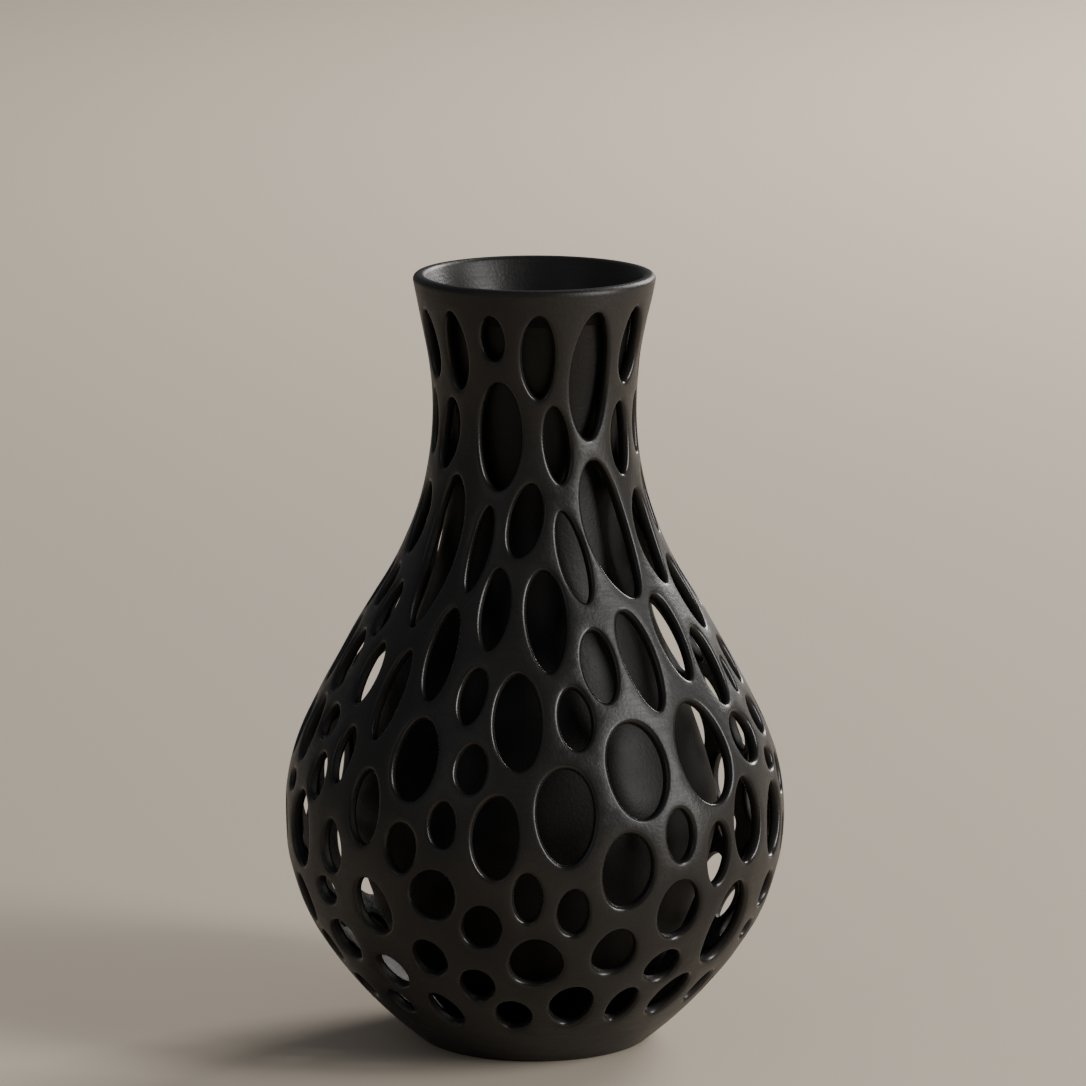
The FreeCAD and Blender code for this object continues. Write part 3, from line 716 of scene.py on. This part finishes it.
def plate_object(settings, places, triangles, joint_ups):
    """The flat web as a mesh object with two faces and a wall's thickness between them."""
    used = sorted({i for triangle in triangles for i in triangle})
    number = {old: new for new, old in enumerate(used)}
    count = len(used)
    points = [(*places[i], 0.0) for i in used]
    points += [(*places[i], settings.outer.thickness) for i in used]
    outer = [[number[i] for i in triangle] for triangle in triangles]
    inner = [[i + count for i in reversed(triangle)] for triangle in outer]
    ends = []
    for triangle in outer:
        for a, b in zip(triangle, triangle[1:] + triangle[:1]):
            if points[a][1] == points[b][1] and points[a][1] in joint_ups:
                ends.append([b, a, a + count, b + count])
    plate = sheet_object("web_plate", points, outer + inner + ends)
    sharp = {tuple(sorted(pair)) for b, a, c, d in ends for pair in ((a, b), (c, d))}
    for edge in plate.data.edges:
        edge.use_edge_sharp = tuple(sorted(edge.vertices)) in sharp
    return plate


def opening_points(cut):
    """A point for each opening, carrying its sizes as attributes."""
    source = sheet_object("opening_points", [(opening["bearing"], opening["up"], 0.0) for opening in cut])
    for name in OPENING_SIZES:
        kind = "INT" if name == "grade" else "FLOAT"
        attribute = source.data.attributes.new(name, kind, "POINT")
        attribute.data.foreach_set("value", [opening[name] for opening in cut])
    return source


def unit_collar(tree, steps):
    """A ring of faces round one opening, with no size yet: only each point's turn and ring are stored."""
    grid = add(tree, "GeometryNodeMeshGrid", 1.0, 1.0, 2 * EDGE_STEPS + 2, steps + 1)
    place = add(tree, "ShaderNodeSeparateXYZ", add(tree, "GeometryNodeInputPosition"))
    ring = add(tree, "ShaderNodeMath", place.outputs[0], 0.5, operation="ADD")
    ring = add(tree, "ShaderNodeMath", ring, 2 * EDGE_STEPS + 1, operation="MULTIPLY")
    ring = add(tree, "ShaderNodeMath", ring, operation="ROUND")
    turn = add(tree, "ShaderNodeMath", place.outputs[1], 0.5, operation="ADD")
    turn = add(tree, "ShaderNodeMath", turn, TAU, operation="MULTIPLY")
    stored = add(tree, "GeometryNodeStoreNamedAttribute", grid, into={"Name": "ring", "Value": ring})
    stored = add(tree, "GeometryNodeStoreNamedAttribute", stored, into={"Name": "turn", "Value": turn})
    flipped = add(tree, "GeometryNodeFlipFaces", stored)
    nowhere = add(tree, "ShaderNodeCombineXYZ")
    shrunk = add(tree, "GeometryNodeSetPosition", flipped, into={"Position": nowhere})
    return add(tree, "GeometryNodeGeometryToInstance", shrunk)


def collar_oval(tree, turn):
    """Each point's place on its oval, in metres from the opening's middle, and its way out."""
    half_width = add(tree, "GeometryNodeInputNamedAttribute", "half_width")
    half_length = add(tree, "GeometryNodeInputNamedAttribute", "half_length")
    egg = add(tree, "GeometryNodeInputNamedAttribute", "egg")
    wander = add(tree, "GeometryNodeInputNamedAttribute", "wander")
    cosine = add(tree, "ShaderNodeMath", turn, operation="COSINE")
    sine = add(tree, "ShaderNodeMath", turn, operation="SINE")
    broader = add(tree, "ShaderNodeMath", egg, sine, 1.0, operation="MULTIPLY_ADD")
    across = add(tree, "ShaderNodeMath", cosine, half_width, operation="MULTIPLY")
    across = add(tree, "ShaderNodeMath", across, broader, operation="MULTIPLY")
    along = add(tree, "ShaderNodeMath", sine, half_length, operation="MULTIPLY")
    phase = add(tree, "ShaderNodeMath", turn, 3.0, wander, operation="MULTIPLY_ADD")
    wave = add(tree, "ShaderNodeMath", phase, operation="COSINE")
    swell = add(tree, "ShaderNodeMath", wave, WANDER, 1.0, operation="MULTIPLY_ADD")
    even = add(tree, "ShaderNodeCombineXYZ", across, along)
    oval = add(tree, "ShaderNodeVectorMath", even, into={"Scale": swell}, operation="SCALE")
    right = add(tree, "ShaderNodeMath", cosine, half_width, operation="DIVIDE")
    top = add(tree, "ShaderNodeMath", sine, half_length, operation="DIVIDE")
    out = add(tree, "ShaderNodeCombineXYZ", right, top)
    return oval, add(tree, "ShaderNodeVectorMath", out, operation="NORMALIZE")


def collar_shape(tree, collars, meridian, thickness):
    """Open each collar out to its oval and round it over from the wall's outer face to its inner face."""
    turn = add(tree, "GeometryNodeInputNamedAttribute", "turn")
    ring = add(tree, "GeometryNodeInputNamedAttribute", "ring")
    edge = add(tree, "GeometryNodeInputNamedAttribute", "edge")
    lean = add(tree, "GeometryNodeInputNamedAttribute", "lean")
    from_inside = add(tree, "ShaderNodeMath", 2 * EDGE_STEPS + 1, ring, operation="SUBTRACT")
    nearer = add(tree, "ShaderNodeMath", ring, from_inside, operation="MINIMUM")
    bend = add(tree, "ShaderNodeMath", nearer, math.pi / 2 / EDGE_STEPS, operation="MULTIPLY")
    rise = add(tree, "ShaderNodeMath", bend, operation="COSINE")
    reach = add(tree, "ShaderNodeMath", bend, operation="SINE")
    inset = add(tree, "ShaderNodeMath", edge, reach, operation="MULTIPLY")
    fall = add(tree, "ShaderNodeMath", 1.0, rise, operation="SUBTRACT")
    sunk = add(tree, "ShaderNodeMath", edge, fall, operation="MULTIPLY")
    behind = add(tree, "ShaderNodeMath", ring, EDGE_STEPS + 0.5, operation="GREATER_THAN")
    from_back = add(tree, "ShaderNodeMath", sunk, -2.0, thickness, operation="MULTIPLY_ADD")
    depth = add(tree, "ShaderNodeMath", behind, from_back, sunk, operation="MULTIPLY_ADD")

    oval, out = collar_oval(tree, turn)
    step_in = add(tree, "ShaderNodeVectorMath", out, into={"Scale": inset}, operation="SCALE")
    lip = add(tree, "ShaderNodeVectorMath", oval, step_in, operation="SUBTRACT")
    leaning = add(tree, "ShaderNodeVectorRotate", lip, into={"Angle": lean}, rotation_type="Z_AXIS")
    shift = add(tree, "ShaderNodeSeparateXYZ", leaning)
    centre = add(tree, "ShaderNodeSeparateXYZ", add(tree, "GeometryNodeInputPosition"))
    up = add(tree, "ShaderNodeMath", centre.outputs[1], shift.outputs[1], operation="ADD")
    sampled = add(tree, "GeometryNodeSampleCurve", meridian, into={"Length": up}, mode="LENGTH")
    radius = add(tree, "ShaderNodeSeparateXYZ", sampled.outputs["Position"])
    swing = add(tree, "ShaderNodeMath", shift.outputs[0], radius, operation="DIVIDE")
    bearing = add(tree, "ShaderNodeMath", centre.outputs[0], swing, operation="ADD")
    placed = add(tree, "ShaderNodeCombineXYZ", bearing, up, depth)
    shaped = add(tree, "GeometryNodeSetPosition", collars, into={"Position": placed})
    cut = add(tree, "ShaderNodeMath", nearer, EDGE_STEPS, operation="DIVIDE")
    return add(tree, "GeometryNodeStoreNamedAttribute", shaped, into={"Name": "knife_cut", "Value": cut})


def laid_on_wall(tree, flat, meridian):
    """Wrap what lies flat, as bearing, distance up and depth, on to the wall."""
    chart = add(tree, "ShaderNodeSeparateXYZ", add(tree, "GeometryNodeInputPosition"))
    bearing, up, depth = chart.outputs
    sampled = add(tree, "GeometryNodeSampleCurve", meridian, into={"Length": up}, mode="LENGTH")
    point = add(tree, "ShaderNodeSeparateXYZ", sampled.outputs["Position"])
    climb = add(tree, "ShaderNodeSeparateXYZ", sampled.outputs["Tangent"])
    back = add(tree, "ShaderNodeMath", depth, climb.outputs[2], operation="MULTIPLY")
    radius = add(tree, "ShaderNodeMath", point.outputs[0], back, operation="SUBTRACT")
    height = add(
        tree, "ShaderNodeMath", depth, climb.outputs[0], point.outputs[2], operation="MULTIPLY_ADD")
    sine = add(tree, "ShaderNodeMath", bearing, operation="SINE")
    cosine = add(tree, "ShaderNodeMath", bearing, operation="COSINE")
    across = add(tree, "ShaderNodeMath", sine, radius, operation="MULTIPLY")
    away = add(tree, "ShaderNodeMath", cosine, radius, operation="MULTIPLY")
    nearer = add(tree, "ShaderNodeMath", away, -1.0, operation="MULTIPLY")
    place = add(tree, "ShaderNodeCombineXYZ", across, nearer, height)
    return add(tree, "GeometryNodeSetPosition", flat, into={"Position": place})


def openwork_tree():
    """Set a rounded collar in every opening of the flat web, wrap it on the wall and repeat it behind."""
    tree, start = new_tree("Openwork wall", [
        ("Openings", "Object"), ("Meridian", "Object"), ("Wall thickness", "Float"), ("Hand play", "Float"),
        ("Clay", "Material")])
    line = add(tree, "GeometryNodeObjectInfo", into={"Object": start.outputs["Meridian"]})
    meridian = add(tree, "GeometryNodeMeshToCurve", line.outputs["Geometry"])
    units = add(tree, "GeometryNodeJoinGeometry", [
        unit_collar(tree, steps) for steps in reversed(GRADE_STEPS)])
    spots = add(tree, "GeometryNodeObjectInfo", into={"Object": start.outputs["Openings"]})
    grade = add(tree, "GeometryNodeInputNamedAttribute", "grade", data_type="INT")
    collars = add(tree, "GeometryNodeInstanceOnPoints", spots.outputs["Geometry"], into={
        "Instance": units, "Pick Instance": True, "Instance Index": grade})
    real = add(tree, "GeometryNodeRealizeInstances", collars)
    shaped = collar_shape(tree, real, meridian, start.outputs["Wall thickness"])
    flat = add(tree, "GeometryNodeJoinGeometry", [shaped, start.outputs["Geometry"]])
    half = laid_on_wall(tree, flat, meridian)
    other = add(tree, "GeometryNodeTransform", half, into={"Rotation": (0.0, 0.0, math.pi)})
    whole = add(tree, "GeometryNodeJoinGeometry", [half, other])
    worked = hand_play(tree, whole, start.outputs["Hand play"])
    finish_tree(tree, worked, start.outputs["Clay"])
    return tree


def clay_material(name, settings, tone, roughness, shine, strokes, unevenness):
    """Clay turned black by smoke in a closed firing, worked to a satin shine while leather-hard.

    The broad mottling is where the smoke settled.  The pebbled skin and the faint level strokes are the
    burnishing stone's, drawn a little coarser than real so that they show, and they break up the highlights.
    The softened edges are rubbed smoothest and catch bright lines, and the knife's cuts are dull; their
    darker colour in the openings' throats is painted shade.
    """
    material = bpy.data.materials.new(name)
    material.use_nodes = True
    tree = material.node_tree
    tree.nodes.clear()
    place = add(tree, "ShaderNodeTexCoord").outputs["Object"]
    across_cut = add(tree, "ShaderNodeAttribute", attribute_name="knife_cut").outputs["Fac"]
    # the throat, the middle of each opening's cut face: really duller, and also painted darker as shade
    # inside the opening
    throat = add(tree, "ShaderNodeMapRange", across_cut, 0.65, 1.0, interpolation_type="SMOOTHSTEP")
    rubbed = add(tree, "ShaderNodeMapRange", across_cut, 0.0, 0.35)
    rubbed = add(tree, "ShaderNodeMath", rubbed, throat, operation="SUBTRACT")

    smoke = add(tree, "ShaderNodeTexNoise", into={"Vector": place, "Scale": 1 / SMOKE_PATCH, "Detail": 4.0})
    smoke = add(tree, "ShaderNodeMapRange", smoke, 0.36, 0.64, interpolation_type="SMOOTHSTEP")
    cloud = add(tree, "ShaderNodeTexNoise", into={"Vector": place, "Scale": 1 / CLOUD_PATCH, "Detail": 3.0})
    cloud = add(tree, "ShaderNodeMapRange", cloud, 0.3, 0.7)
    paler = add(tree, "ShaderNodeMath", cloud, 0.4, smoke, operation="MULTIPLY_ADD")
    paler = add(tree, "ShaderNodeMath", paler, 1.4, operation="DIVIDE")
    body = add(tree, "ShaderNodeMix", data_type="RGBA", into={
        0: paler, 6: (*settings.clay_dark, 1.0), 7: (*tone, 1.0)}).outputs[2]
    # painted shade: the openings' throats take the darker cut colour in place of the shade inside them
    skin = add(tree, "ShaderNodeMix", data_type="RGBA", into={
        0: throat, 6: body, 7: (*settings.clay_cut_painted_shade, 1.0)}).outputs[2]

    level = add(tree, "ShaderNodeMapping", place, into={
        "Scale": (1 / STROKE_LENGTH, 1 / STROKE_LENGTH, 1 / STROKE_BREADTH)})
    stroke = add(tree, "ShaderNodeTexNoise", into={"Vector": level, "Scale": 1.0, "Detail": 2.0})
    pebble = add(tree, "ShaderNodeTexNoise", into={"Vector": place, "Scale": 1 / PEBBLE_SIZE, "Detail": 2.0})
    grain = add(tree, "ShaderNodeTexNoise", into={"Vector": place, "Scale": 1 / GRAIN_SIZE, "Detail": 2.0})
    dents = add(tree, "ShaderNodeTexNoise", into={"Vector": place, "Scale": 1 / DENT_SPAN, "Detail": 1.0})

    gloss = add(tree, "ShaderNodeMapRange", stroke, 0.3, 0.7, roughness - strokes, roughness + strokes)
    gloss = add(tree, "ShaderNodeMath", smoke, -0.05, gloss, operation="MULTIPLY_ADD")
    gloss = add(tree, "ShaderNodeMath", throat, 0.16, gloss, operation="MULTIPLY_ADD")
    gloss = add(tree, "ShaderNodeMath", rubbed, -0.16, gloss, operation="MULTIPLY_ADD")
    rough_skin = add(tree, "ShaderNodeMath", rubbed, -0.5, 0.6, operation="MULTIPLY_ADD")

    dented = add(tree, "ShaderNodeBump", into={
        "Height": dents, "Strength": 0.5, "Distance": unevenness * MM})
    stroked = add(tree, "ShaderNodeBump", into={
        "Height": stroke, "Strength": 0.15, "Distance": 0.03 * MM, "Normal": dented})
    pebbled = add(tree, "ShaderNodeBump", into={
        "Height": pebble, "Strength": rough_skin, "Distance": 0.17 * MM, "Normal": stroked})
    grained = add(tree, "ShaderNodeBump", into={
        "Height": grain, "Strength": rough_skin, "Distance": 0.02 * MM, "Normal": pebbled})

    surface = add(tree, "ShaderNodeBsdfPrincipled", into={
        "Base Color": skin, "Roughness": gloss, "Specular IOR Level": shine, "Normal": grained, "IOR": 1.5})
    add(tree, "ShaderNodeOutputMaterial", surface)
    return material


def plain_material(name, colour_value, roughness):
    """An even matt finish, as on a studio's floor."""
    material = bpy.data.materials.new(name)
    material.use_nodes = True
    surface = material.node_tree.nodes["Principled BSDF"]
    surface.inputs["Base Color"].default_value = (*colour_value, 1.0)
    surface.inputs["Roughness"].default_value = roughness
    return material


def give(piece, slot, *nodes):
    """Hand a finished piece over to the frame: its body and what it stands for. The slot argument, its
    material slot, is not used.
    """
    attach(piece, "root")
    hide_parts(*nodes)


def clay_of(kind, settings):
    """The vase's clay, made once: burnished outside, only smoothed inside; the inner vessel's darker colour
    is painted shade.
    """
    roughness = settings.roughness
    if kind == "burnished":
        return bpy.data.materials.get("Burnished black clay") or clay_material(
            "Burnished black clay", settings, settings.clay, roughness, 0.5, 0.03, 0.3)
    # the inner vessel: a darker colour as painted shade, with a really duller, less shiny finish
    return bpy.data.materials.get("Smoothed black clay, painted shade") or clay_material(
        "Smoothed black clay, painted shade", settings, settings.clay_liner_painted_shade, roughness + 0.06, 0.25, 0.01, 0.1)


class VASE_OT_foot(bpy.types.Operator):
    """Turn the foot: the solid floor and the flared band that the openwork wall rises from."""
    bl_idname = "vase.foot"
    bl_label = "Foot"

    def execute(self, context):
        settings = context.scene.vase
        wall = Meridian(settings.outer, settings.height)
        outline, arrises = foot_outline(settings, wall)
        piece = turned_piece("turned_foot", outline, settings, clay_of("burnished", settings), arrises)
        give(piece, "outer_clay", "foot")
        return {"FINISHED"}


class VASE_OT_openwork(bpy.types.Operator):
    """Build the pierced outer wall: a thin turned wall with every oval opening cut through and softened."""
    bl_idname = "vase.openwork"
    bl_label = "Openwork wall"

    def execute(self, context):
        settings = context.scene.vase
        wall = Meridian(settings.outer, settings.height)
        cut = openings(settings, wall)
        line = wall.stretch(0, wall.length, MERIDIAN_FINE)
        edges = [(i, i + 1) for i in range(len(line) - 1)]
        meridian = sheet_object("meridian", [(p.x, 0.0, p.y) for p in line], edges=edges)
        points = opening_points(cut)
        piece = made_by(openwork_tree(), web_plate(settings, wall, cut), "openwork_wall", {
            "Openings": points, "Meridian": meridian, "Wall thickness": settings.outer.thickness,
            "Hand play": settings.hand_play, "Clay": clay_of("burnished", settings)})
        for helper in (points, meridian):
            bpy.data.objects.remove(helper)
        for name in (*OPENING_SIZES, "ring", "turn"):
            piece.data.attributes.remove(piece.data.attributes[name])
        shade(piece)
        give(piece, "outer_clay", "outer_bowl", "outer_shoulder", "outer_neck")
        return {"FINISHED"}


class VASE_OT_rim(bpy.types.Operator):
    """Turn the rim ring: the rounded lip that closes the gap between the two walls."""
    bl_idname = "vase.rim"
    bl_label = "Rim ring"

    def execute(self, context):
        settings = context.scene.vase
        wall = Meridian(settings.outer, settings.height)
        vessel = Meridian(settings.inner, settings.height)
        outline, arrises = rim_ring_outline(settings, wall, vessel)
        piece = turned_piece("lip_ring", outline, settings, clay_of("burnished", settings), arrises)
        give(piece, "outer_clay", "rim_ring")
        return {"FINISHED"}


class VASE_OT_vessel(bpy.types.Operator):
    """Turn the inner vessel, the plain closed wall seen through the openings."""
    bl_idname = "vase.vessel"
    bl_label = "Inner vessel"

    def execute(self, context):
        settings = context.scene.vase
        vessel = Meridian(settings.inner, settings.height)
        outline, arrises = vessel_outline(settings, vessel)
        piece = turned_piece("inner_vessel", outline, settings, clay_of("smoothed", settings), arrises)
        give(piece, "inner_clay", "vessel_bowl", "vessel_neck")
        return {"FINISHED"}


class VASE_OT_stage(bpy.types.Operator):
    """Set the plain floor, the soft studio lights and the camera."""
    bl_idname = "vase.stage"
    bl_label = "Studio"

    def execute(self, context):
        settings = context.scene.vase
        reach = FLOOR_REACH
        floor = sheet_object("studio_floor", [
            (-reach, -reach, 0), (reach, -reach, 0), (reach, reach, 0), (-reach, reach, 0)], [(0, 1, 2, 3)])
        floor.data.materials.append(plain_material(
            "Studio floor, matt paint", settings.floor_colour, FLOOR_ROUGHNESS))
        for name, energy, breadth, height, place, target, tint in LIGHTS:
            lamp = bpy.data.lights.new(name, "AREA")
            lamp.shape = "RECTANGLE"
            lamp.energy = energy
            lamp.size = breadth
            lamp.size_y = height
            lamp.color = tint
            lit = bpy.data.objects.new(name, lamp)
            lit.location = place
            lit.rotation_euler = (Vector(target) - Vector(place)).to_track_quat("-Z", "Y").to_euler()
            context.collection.objects.link(lit)
        world = bpy.data.worlds.new("Pale studio")
        world.use_nodes = True
        sky = world.node_tree.nodes["Background"]
        sky.inputs["Color"].default_value = (*WORLD_TINT, 1.0)
        sky.inputs["Strength"].default_value = WORLD_STRENGTH
        context.scene.world = world
        lens = bpy.data.cameras.new("Camera")
        lens.sensor_width = CAMERA_SENSOR
        lens.lens = CAMERA_LENS
        view = bpy.data.objects.new("Camera", lens)
        view.location = CAMERA_PLACE
        view.rotation_euler = (math.radians(90 - CAMERA_DOWN), 0, 0)
        context.collection.objects.link(view)
        context.scene.camera = view
        return {"FINISHED"}


class VASE_PT_panel(bpy.types.Panel):
    """The vase's pieces and the studio, in the order they are built."""
    bl_label = "Openwork Black Clay Vase"
    bl_space_type = "VIEW_3D"
    bl_region_type = "UI"
    bl_category = "Vase"

    def draw(self, context):
        for step in STEPS:
            self.layout.operator(step.bl_idname)


STEPS = (VASE_OT_foot, VASE_OT_openwork, VASE_OT_rim, VASE_OT_vessel, VASE_OT_stage)
CLASSES = (WallSizes, VesselSizes, VaseSettings, *STEPS, VASE_PT_panel)


def register():
    """Register the settings, the operators and the panel."""
    for cls in CLASSES:
        bpy.utils.register_class(cls)
    bpy.types.Scene.vase = bpy.props.PointerProperty(type=VaseSettings)


def unregister():
    """Take back what register did."""
    del bpy.types.Scene.vase
    for cls in reversed(CLASSES):
        bpy.utils.unregister_class(cls)


def main():
    """Build every piece and the studio."""
    register()
    bpy.ops.vase.foot()
    bpy.ops.vase.openwork()
    bpy.ops.vase.rim()
    bpy.ops.vase.vessel()
    bpy.ops.vase.stage()
    bpy.context.view_layer.update()


if __name__ == "__main__":
    main()
